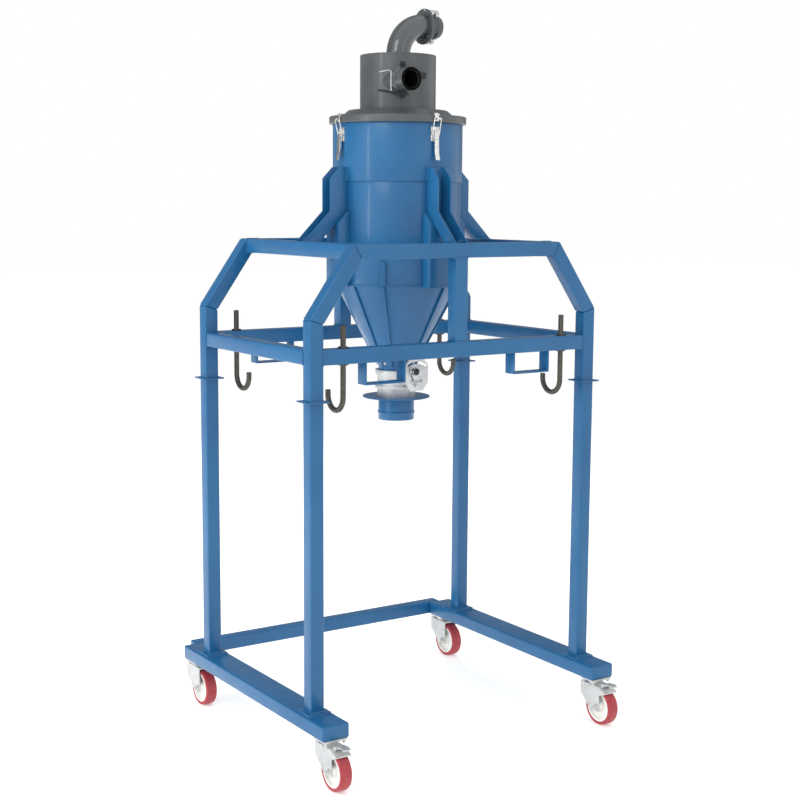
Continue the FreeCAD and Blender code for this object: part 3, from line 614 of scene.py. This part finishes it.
def elbow():
    """Drawn quarter bend from the hood's top to the flange of the outlet."""
    radius, wall, into_hood, flange_thick = 50 * MM, 3 * MM, 4 * MM, 10 * MM
    start = heights("hood_top")[2] * MM - into_hood
    centre_z = middle("outlet_coupling").z
    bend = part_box("outlet_coupling")[0].x - flange_thick - axis.x
    bend_z = centre_z - bend
    ops.object.select_all(action="DESELECT")
    ops.mesh.primitive_circle_add(vertices=64, radius=radius, location=(axis.x, axis.y, start))
    bent = started("elbow_pipe")
    pulled((0, 0, bend_z - start))
    ops.mesh.spin(steps=28, angle=-math.pi / 2, center=(axis.x + bend, axis.y, bend_z), axis=(0, 1, 0))
    closed_up()
    applied(bent, "SOLIDIFY", thickness=wall, offset=-1)
    dressed(settled(smoothed(bent, 40)), "grey_paint", stands_for=("outlet_elbow",), finish=PIPE_ENAMEL)
    face = Vector((axis.x + bend, axis.y, centre_z))
    flange = rounded(pipe("elbow_flange", 74.5, 47, 0, flange_thick / MM, 96), 1.5, 3)
    dressed(settled(flange, at(face, X)), "grey_paint")
    out_to_bolt = Vector((0, 0, 64 * MM))
    bolt = hexagon_bolt("bolt", 11, 6, 9, 3.2)
    places = [at(face + about("X", turn).to_3x3() @ out_to_bolt, -X, 10) for turn in range(45, 405, 90)]
    dressed(repeated("elbow_flange_bolts", bolt, places), "grey_paint")


def outlet_socket():
    low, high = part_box("outlet_coupling")
    centre_z = middle("outlet_coupling").z
    length = (high.x - low.x) / MM
    body = turned("outlet_socket", [(58, 0), (58, 8), (46, 11), (44, 16), (44, length - 34),
                                    (48, length - 30), (50, length - 26), (50, length - 14),
                                    (47, length - 10), (44, length - 8), (44, length - 2), (42, length),
                                    (38, length), (38, 0)], 96, hollow=True)
    dressed(settled(rounded(body, 0.8, 2, 20), at((low.x, axis.y, centre_z), X)), "grey_paint",
            stands_for=("outlet_coupling",))
    pin_along, pin_out = 46 * MM, 62
    beside_pins = Matrix.Translation((low.x + pin_along, axis.y, centre_z))
    spots = [beside_pins @ about("X", turn) @ shift(0, 0, pin_out) @ HALF_TURN for turn in (20, 200)]
    dressed(repeated("outlet_cam_levers", cam_arm("arm"), spots), "zinc_steel")


# ---- inlet pipe and its coupling ----
def inlet():
    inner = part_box("inlet_pipe")[1].y
    stub_low, stub_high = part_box("inlet_coupling")
    centre = middle("inlet_pipe")
    flange = stub_high.y
    length, depth = (flange - stub_low.y) / MM, (inner - flange) / MM
    to_front = at((centre.x, flange, centre.z), -Y)
    tube = turned("inlet_tube", [(38, -depth), (38, -8), (54, -8), (54, 0), (35, 0), (35, -depth)], 72,
                  hollow=True)
    dressed(settled(rounded(tube, 0.8, 2), to_front), "grey_paint", stands_for=("inlet_pipe",))
    body = turned("inlet_socket", [(54, 0), (54, 8), (49, 12), (46, 14), (46, length - 5), (45, length - 4),
                                   (45, length - 1), (44, length), (37, length), (36, length - 2), (36, 0)],
                  96, hollow=True)
    dressed(settled(rounded(body, 0.8, 2, 20), to_front), "grey_paint", stands_for=("inlet_coupling",),
            finish=PIPE_ENAMEL)
    # the seal's face ring is the gasket; the dead black sleeve lining the bore behind it is painted shade in
    # the inlet's mouth
    seal = turned("inlet_seal", [(36.5, 2), (46.5, 2), (47, 1), (47, -3), (45.5, -4), (45.5, -0.5),
                                 (39, -1), (33.5, -6), (33.5, -95), (36.5, -95)], 72, hollow=True)
    dressed(settled(rounded(seal, 0.5, 2, 20), at((centre.x, stub_low.y, centre.z), -Y)), "black_plastic",
            finish=SEAL_AND_MOUTH_SHADE)
    lugs, nuts = [], []
    for turn in (0, 180):
        spot = at((centre.x, flange - 2 * MM, centre.z), -Y) @ about("Z", turn)
        lug = rounded(plate("lug", [(-15, 42), (15, 42), (10, 74), (-10, 74)], 10, 6.0), 1.5, 2)
        lugs.append(settled(lug, spot))
        nuts.append(settled(hexagon_bolt("nut", 13, 8, 9, 4), spot @ shift(0, 64, 10)))
    # lugs, nuts and stays keep the grey enamel's slot but take it darkened to near black as painted shade
    dressed(joined("inlet_lugs", lugs), "grey_paint", finish=SHADE_DARKENED_ANTHRACITE)
    dressed(joined("inlet_lug_nuts", nuts), "grey_paint", finish=SHADE_DARKENED_ANTHRACITE)
    beside_flange = Matrix.Translation((centre.x, flange - 8 * MM, centre.z)) @ UPRIGHT
    stay = plate("inlet_latch_stays", [(-124, -44), (20, -54), (26, -60), (0, -66), (-60, -58),
                                       (-124, -50)], 12, 3.0)
    catch = plate("catch", [(40, 6), (78, 10), (104, 6), (108, 32), (78, 36), (40, 28)], 16, 4.0)
    stays = [settled(rounded(piece, 1.2, 2), beside_flange) for piece in (stay, catch)]
    dressed(joined("inlet_latch_stays", stays), "grey_paint", finish=SHADE_DARKENED_ANTHRACITE)
    bail = wire("inlet_latch_bail", [(-118, 24, 8), (-78, 33, 8), (-62, 31, 8), (-62, -48, 8)], 2.6, 6.0,
                sides=3)
    dressed(settled(bail, beside_flange), "latch_steel")


# ---- toggle latches, modelled at the right-hand station ----
def latches():
    lid_radius, lid_low, _ = heights("lid")
    rod, half = 2.5, 16.5
    bail_low, bail_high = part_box("latch_bail_right")
    pivot_x, pivot_z = (bail_low.x - axis.x) / MM + rod, bail_low.z / MM + rod
    top_x, top_z = (bail_high.x - axis.x) / MM - rod, bail_high.z / MM - rod
    corners = [(pivot_x, -half, pivot_z), (pivot_x, half, pivot_z),
               (top_x, half, top_z), (top_x, -half, top_z)]
    for name, turn in STATIONS.items():
        softened("latch_lever_" + name, "latch_steel", 1.0, "lever_" + name, 3, "toggle_lever_" + name)
        loop = wire("toggle_bail_" + name, corners, rod, 4.0, closed=True, sides=3)
        settled(loop, Matrix.Translation(axis) @ about("Z", turn))
        dressed(loop, "latch_steel", "bail_" + name, ("latch_bail_" + name,))
    softened("latch_bases", "latch_steel", 0.6, name="toggle_bases")
    softened("latch_catches", "latch_steel", 0.6, name="toggle_catches")
    latch_rivets()
    roll = rounded(turned("roll", [(5.5, -10.5), (5.5, 10.5)], 32), 0.8, 2)
    settled(roll, shift(lid_radius - 4, 0, top_z + 16) @ UPRIGHT)
    width = 24
    tab = plate("tab", [(lid_radius - 34, 0), (lid_radius - 34, 3), (lid_radius - 2, 3),
                        (lid_radius + 2, -7), (lid_radius - 1, -7), (lid_radius - 5, 0)], width, 1.0)
    settled(rounded(tab, 0.6, 2), shift(0, width / 2, lid_low + 33.5) @ UPRIGHT)
    keeper = settled(joined("keeper", [roll, tab]), Matrix.Translation(axis))
    dressed(at_stations("toggle_keepers", keeper), "latch_steel")


def latch_rivets():
    """Four dome-headed rivets through each latch's base."""
    base_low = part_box("latch_bases")[0].z / MM
    base_face = axis.x / MM + drum_radius + 2.6
    rivet = rounded(turned("rivet", [(4.2, 0), (4.2, 0.8), (3.0, 2.0), (1.2, 2.5)], 20), 0.3, 1, 20)
    spots = [at(Vector((base_face, axis.y / MM + y, base_low + z)) * MM, X)
             for y in (-14, 14) for z in (7, 51)]
    dressed(at_stations("toggle_rivets", repeated("rivets", rivet, spots)), "latch_steel")


# ---- bag hooks ----
def hooks():
    softened("bag_hooks", "hook_steel", 0.8)
    low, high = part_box("bag_hooks")
    rod, half_collar, half_pitch, steps = 11.0, 21 * MM, 1.3, 41
    profile = [(rod + 0.25, 0)]
    profile += [(rod + (0.25 if step % 2 else -0.7), half_pitch * step) for step in range(1, steps + 1)]
    thread = smoothed(turned("thread", profile, 32), 80)
    x, foot = high.x - half_collar, high.z - 60 * MM
    spots = [Matrix.Translation((sign * x, y, foot)) for y in (low.y + half_collar, high.y - half_collar)
             for sign in (-1, 1)]
    dressed(repeated("hook_threads", thread, spots), "hook_steel")


# ---- discharge valve and spout ----
def valve():
    softened("valve_body", "cast_aluminium", 1.5, segments=3)
    softened("valve_handle", "cast_aluminium", 1.2, "valve_handle", 3, "valve_arm")
    softened("valve_disc", "cast_aluminium", 0.8, "valve_handle")
    low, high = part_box("valve_body")
    flange_height, bolt_inset, clear_of_quadrant = 22 * MM, 7.5, 20 * MM
    bolt_circle = (high.x - low.x) / 2 / MM - bolt_inset
    under_flange = Matrix.Translation((axis.x, axis.y, high.z - flange_height))
    spots = [under_flange @ about("Z", turn) @ shift(bolt_circle, 0, 0) @ UPSIDE_DOWN
             for turn in range(22, 382, 45)]
    spots = [spot for spot in spots if abs(spot.translation.x) > clear_of_quadrant]
    dressed(repeated("valve_flange_bolts", hexagon_bolt("bolt", 13, 6.5, 8, 4), spots), "zinc_steel")
    shaft_z = middle("valve_disc").z
    screw_places = [at((x * MM, low.y, shaft_z + 5 * MM), -Y) for x in (-22, 22)]
    dressed(repeated("quadrant_screws", hexagon_bolt("screw", 13, 6, 9, 3.5), screw_places), "zinc_steel")
    arm_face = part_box("valve_handle")[1].y - 6 * MM
    nut = hexagon_bolt("shaft_nut", 17, 8, 13, 5)
    dressed(settled(nut, at((0, arm_face, shaft_z), -Y)), "zinc_steel", "valve_handle")
    clamp_knob(arm_face, shaft_z)


def clamp_knob(face, shaft_z):
    """Star knob at the end of the handle, its rim drawn in between six lobes."""
    handle_turn, reach, lobes, dip, stem = math.radians(-26), 58 * MM, 6, 0.09, 12 * MM
    knob = turned("clamp_knob", [(7, 0), (8, 4), (16, 8), (17.5, 12), (17.5, 20), (15, 25), (8, 27)], 48)
    for point in knob.data.vertices:
        if math.hypot(point.co.x, point.co.y) > stem:
            spread = math.atan2(point.co.y, point.co.x)
            ease = 1 - dip * (1 + math.cos(lobes * spread)) / 2
            point.co.x, point.co.y = point.co.x * ease, point.co.y * ease
    rounded(knob, 0.8, 2, 25)
    place = (reach * math.sin(handle_turn), face, shaft_z + reach * math.cos(handle_turn))
    dressed(settled(knob, at(place, -Y)), "black_plastic", "valve_handle")


def spout():
    bead_radius, low, high = heights("bag_spout")
    collar_radius, collar_low, collar_high = heights("bag_plate")
    bead, wall = 3.0, 2.5
    radius = bead_radius - bead
    tube = turned("spout_tube", [(radius, low), (radius, high - 79), (radius + 2.4, high - 76),
                                 (radius + bead, high - 71), (radius + 2.4, high - 66), (radius, high - 63),
                                 (radius, high), (radius - wall, high), (radius - wall, low)],
                  96, hollow=True)
    on_axis(rounded(tube, 0.7, 2, 20), "blue_paint", ("bag_spout",))
    collar = pipe("bag_collar", collar_radius, radius, collar_low, collar_high, 120)
    on_axis(rounded(collar, 1.2, 3), "blue_paint", ("bag_plate",))


# ---- castors ----
def castor_wheel(name):
    """Red tread cast on a white nylon centre with a recessed web and a hub."""
    node = "castor_wheel_" + name
    low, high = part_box(node)
    radius = (high.z - low.z) / 2 / MM
    rim = radius - 15
    place = at(middle(node), X)
    tread = turned("tread_" + name, [(rim, -24), (radius - 4, -25), (radius - 1.2, -21.5), (radius, -16),
                                     (radius, 16), (radius - 1.2, 21.5), (radius - 4, 25), (rim, 24)],
                   96, hollow=True)
    dressed(settled(rounded(tread, 1.2, 3, 14), place), "red_tread", "wheel_" + name)
    core = turned("core_" + name, [(6.2, -28), (20, -28), (21, -26), (23, -9), (rim - 12, -8),
                                   (rim - 8, -12), (rim - 7, -24.5), (rim, -24.5), (rim, 24.5),
                                   (rim - 7, 24.5), (rim - 8, 12), (rim - 12, 8), (23, 9), (21, 26),
                                   (20, 28), (6.2, 28)], 96, hollow=True)
    dressed(settled(rounded(core, 1.0, 3, 14), place), "wheel_core", "wheel_" + name, (node,))


def castors():
    trail, half_fork, crown_above_wheel = 42 * MM, 33.5 * MM, 6.5 * MM
    bolt_x, bolt_y, plate_thick = 41 * MM, 31 * MM, 8 * MM
    plate_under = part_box("castor_mounts")[1].z - plate_thick
    bolts = []
    for name in CORNERS:
        body = "castor_" + name
        softened("castor_fork_" + name, "zinc_steel", 1.6, body, 3, "fork_" + name)
        castor_wheel(name)
        fork_low, fork_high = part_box("castor_fork_" + name)
        axle = middle("castor_wheel_" + name)
        swivel_x, swivel_y = (fork_low.x + fork_high.x) / 2, axle.y + trail
        ends = [settled(hexagon_bolt("nut", 19, 9, 14, 5.5),
                        at((axle.x + sign * half_fork, axle.y, axle.z), X * sign)) for sign in (-1, 1)]
        dressed(joined("axle_nuts_" + name, ends), "zinc_steel", body)
        dome = turned("swivel_dome_" + name, [(36, 0), (36, 3), (33, 8), (25, 10.5), (14, 11)], 64)
        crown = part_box("castor_wheel_" + name)[1].z + crown_above_wheel
        dressed(settled(rounded(dome, 1.0, 3, 14), Matrix.Translation((swivel_x, swivel_y, crown))),
                "zinc_steel", body)
        bolts += [Matrix.Translation((swivel_x + x, swivel_y + y, plate_under)) @ UPSIDE_DOWN
                  for x in (-bolt_x, bolt_x) for y in (-bolt_y, bolt_y)]
    dressed(repeated("castor_plate_bolts", hexagon_bolt("bolt", 13, 7, 9, 4), bolts), "zinc_steel")
    softened("castor_mounts", "zinc_steel", 1.0)
    for name in ("front_left", "front_right"):
        softened("brake_pedal_" + name, "zinc_steel", 1.0, "pedal_" + name, 3, "pedal_" + name)


# ---- studio ----
def studio():
    """Floor, room and softboxes."""
    ops.object.select_all(action="DESELECT")
    ops.mesh.primitive_plane_add(size=80, location=(0, 0, 0))
    floor = started("studio_floor")
    ops.mesh.subdivide(number_cuts=3)
    ops.object.mode_set(mode="OBJECT")
    floor.data.materials.append(pale_floor())
    world = bpy.data.worlds.new("studio_light")
    scene.world = world
    world.use_nodes = True
    # a white room whose rear wall is hung with grey: it keeps the faces that mirror it deep in colour
    tree = world.node_tree
    way = add(tree, "TexCoord", {}).outputs["Generated"]
    rearward = add(tree, "SeparateXYZ", {"Vector": way}).outputs["Y"]
    wall = add(tree, "MapRange", {"Value": rearward, "From Min": 0.15, "From Max": 0.35, "To Min": 1.0,
                                  "To Max": 0.3})
    seen = add(tree, "LightPath", {}).outputs["Is Camera Ray"]
    glow = add(tree, "Math", {0: wall.outputs["Result"], 1: seen}, operation="MAXIMUM").outputs["Value"]
    tree.links.new(glow, tree.nodes["Background"].inputs["Strength"])
    tree.nodes["Background"].inputs["Color"].default_value = (1.0, 1.0, 1.0, 1.0)
    for name, place, aim, size, power in (
            ("left_strip_softbox", (-5.5, 1.9, 2.0), (0, 0, 1.5), (1.2, 5.0), 170),
            ("narrow_strip", (-6.0, -0.5, 2.7), (0, 0, 2.6), (0.3, 3.0), 30),
            ("rear_softbox", (2.5, 6.0, 4.0), (0, 0, 1.6), (3.0, 3.0), 150),
            ("key_softbox", (-4.5, -2.5, 5.0), (0, 0, 1.4), (2.5, 2.5), 60),
            ("front_softbox", (1.5, -6.0, 3.5), (0, 0, 1.6), (3.0, 3.0), 12)):
        light = bpy.data.lights.new(name, "AREA")
        light.shape, light.energy = "RECTANGLE", power
        light.size, light.size_y = size
        lamp = bpy.data.objects.new(name, light)
        scene.collection.objects.link(lamp)
        lamp.location = place
        lamp.visible_glossy = name not in ("left_strip_softbox", "rear_softbox")
        lamp.rotation_euler = (Vector(aim) - Vector(place)).to_track_quat("-Z", "Y").to_euler()
    scene.view_settings.view_transform = "Standard"


def camera():
    """The photo's camera, as fitted to the frame's corners and edges."""
    turn, tilt, roll = math.radians(-33.462), math.radians(7.78), math.radians(0.342)
    ahead = Vector((-math.sin(turn) * math.cos(tilt), math.cos(turn) * math.cos(tilt), -math.sin(tilt)))
    right = Vector((math.cos(turn), math.sin(turn), 0))
    up = right.cross(ahead)
    right, up = (math.cos(roll) * right + math.sin(roll) * up, math.cos(roll) * up - math.sin(roll) * right)
    lens = bpy.data.cameras.new("camera")
    lens.lens, lens.sensor_width = 65.14, 36.0
    lens.clip_start, lens.clip_end = 0.1, 200
    eye = bpy.data.objects.new("camera", lens)
    scene.collection.objects.link(eye)
    facing = Matrix((right, up, -ahead)).transposed().to_4x4()
    eye.matrix_world = Matrix.Translation((-3.4235, -5.1990, 2.2540)) @ facing
    scene.camera = eye


for build in (frame_tubes, sheet_steel, frame_welds, bracket_welds, drum, cone, lid, hood, elbow,
              outlet_socket, inlet, latches, hooks, valve, spout, castors, studio, camera):
    build()

# what still shows of the CAD nodes takes its slot's finish
for node in nodes.values():
    if not node.hide_render:
        slot = node.data.materials[0].name.split(".")[0]
        for holder in node.material_slots:
            holder.material = MATERIALS[slot]
